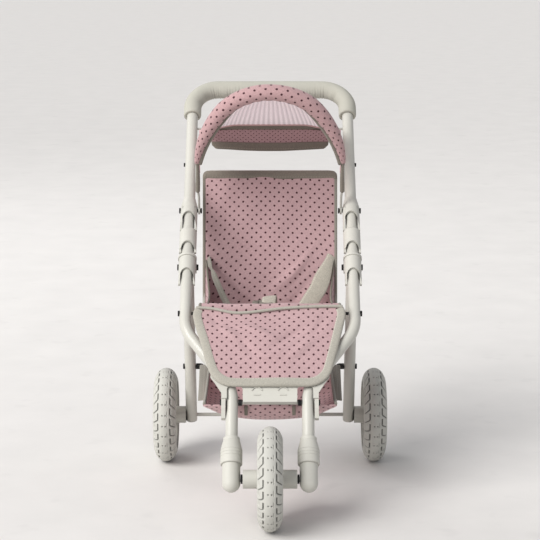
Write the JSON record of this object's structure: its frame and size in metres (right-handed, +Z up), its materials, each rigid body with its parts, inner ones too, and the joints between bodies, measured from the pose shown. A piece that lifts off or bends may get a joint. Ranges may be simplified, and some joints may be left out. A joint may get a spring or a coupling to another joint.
{
  "type": "doll stroller",
  "caption": "Folding three-wheeled doll stroller with foam handle, hooped canopy, sling seat, leg panel, basket and moulded footrest.",
  "frame": {"origin": "middle of the footprint on the floor", "axes": "+X to the right seen from the front, +Y to the rear, +Z up"},
  "size_m": [0.393, 0.645, 0.6536],
  "materials": {
    "frame_paint": "satin",
    "moulded_plastic": "matte",
    "steel_rod": "satin",
    "black_fastener": "satin",
    "dotted_fabric": "matte",
    "canopy_fabric": "matte",
    "webbing": "matte",
    "buckle_plastic": "matte",
    "foam": "matte",
    "tyre_foam": "matte"
  },
  "bodies": {
    "front_frame": {"front_tube_left": "frame_paint", "front_tube_right": "frame_paint", "tube_top_plugs": "frame_paint", "fork_sleeve_left": "moulded_plastic", "fork_sleeve_right": "moulded_plastic", "fork_end_left": "moulded_plastic", "fork_end_right": "moulded_plastic", "front_axle": "steel_rod", "front_axle_nuts": "black_fastener", "footrest": "moulded_plastic", "footrest_rod": "steel_rod", "footrest_bushes": "black_fastener", "pivot_housing_left": "moulded_plastic", "pivot_housing_right": "moulded_plastic", "leg_pivot_bolts": "black_fastener", "seat_bolts": "black_fastener", "seat_rod": "steel_rod", "seat_fabric": "dotted_fabric", "leg_panel": "dotted_fabric", "harness_left": "webbing", "harness_right": "webbing", "crotch_strap": "webbing", "buckle": "buckle_plastic", "basket": "dotted_fabric"},
    "handle_frame": {"handle_tube": "frame_paint", "grip_foam": "foam", "yoke_left": "moulded_plastic", "yoke_right": "moulded_plastic", "yoke_bolts": "black_fastener", "canopy_rear_wire": "steel_rod", "canopy_clips": "black_fastener", "canopy_roof": "canopy_fabric", "canopy_flap": "dotted_fabric"},
    "canopy_hoop": {"hoop_wire": "steel_rod", "hoop_roll": "dotted_fabric"},
    "lock_left": {"lock_sleeve_left": "moulded_plastic"},
    "lock_right": {"lock_sleeve_right": "moulded_plastic"},
    "rear_frame": {"rear_leg_left": "frame_paint", "rear_leg_right": "frame_paint", "leg_top_plugs": "frame_paint", "leg_end_plugs": "frame_paint", "rear_axle": "steel_rod", "basket_bolts": "black_fastener"},
    "front_wheel": {"front_tyre": "tyre_foam", "front_rim": "moulded_plastic"},
    "rear_wheel_left": {"rear_tyre_left": "tyre_foam", "rear_rim_left": "moulded_plastic", "rear_cap_left": "moulded_plastic"},
    "rear_wheel_right": {"rear_tyre_right": "tyre_foam", "rear_rim_right": "moulded_plastic", "rear_cap_right": "moulded_plastic"}
  },
  "joints": [
    {"name": "handle_fold", "type": "hinge", "parent": "front_frame", "child": "handle_frame", "pos_m": [0, 0.0987, 0.43554], "axis": [-1, 0, 0], "range_deg": [0, 100]},
    {"name": "canopy_fold", "type": "hinge", "parent": "handle_frame", "child": "canopy_hoop", "pos_m": [0, 0.0987, 0.43554], "axis": [-1, 0, 0], "range_deg": [0, 60], "deforming": ["canopy_roof"]},
    {"name": "lock_slide_left", "type": "slide", "parent": "front_frame", "child": "lock_left", "axis": [0, -0.7547, -0.6561], "range_m": [0, 0.008]},
    {"name": "lock_slide_right", "type": "slide", "parent": "front_frame", "child": "lock_right", "axis": [0, -0.7547, -0.6561], "range_m": [0, 0.008]},
    {"name": "rear_fold", "type": "hinge", "parent": "front_frame", "child": "rear_frame", "pos_m": [0, 0.03482, 0.35218], "axis": [-1, 0, 0], "range_deg": [0, 50]},
    {"name": "front_wheel_spin", "type": "hinge", "parent": "front_frame", "child": "front_wheel", "pos_m": [0, -0.24298, 0.0795], "axis": [1, 0, 0], "continuous": true},
    {"name": "rear_wheel_left_spin", "type": "hinge", "parent": "rear_frame", "child": "rear_wheel_left", "pos_m": [-0.1768, 0.12942, 0.0795], "axis": [1, 0, 0], "continuous": true},
    {"name": "rear_wheel_right_spin", "type": "hinge", "parent": "rear_frame", "child": "rear_wheel_right", "pos_m": [0.1768, 0.12942, 0.0795], "axis": [1, 0, 0], "continuous": true}
  ]
}
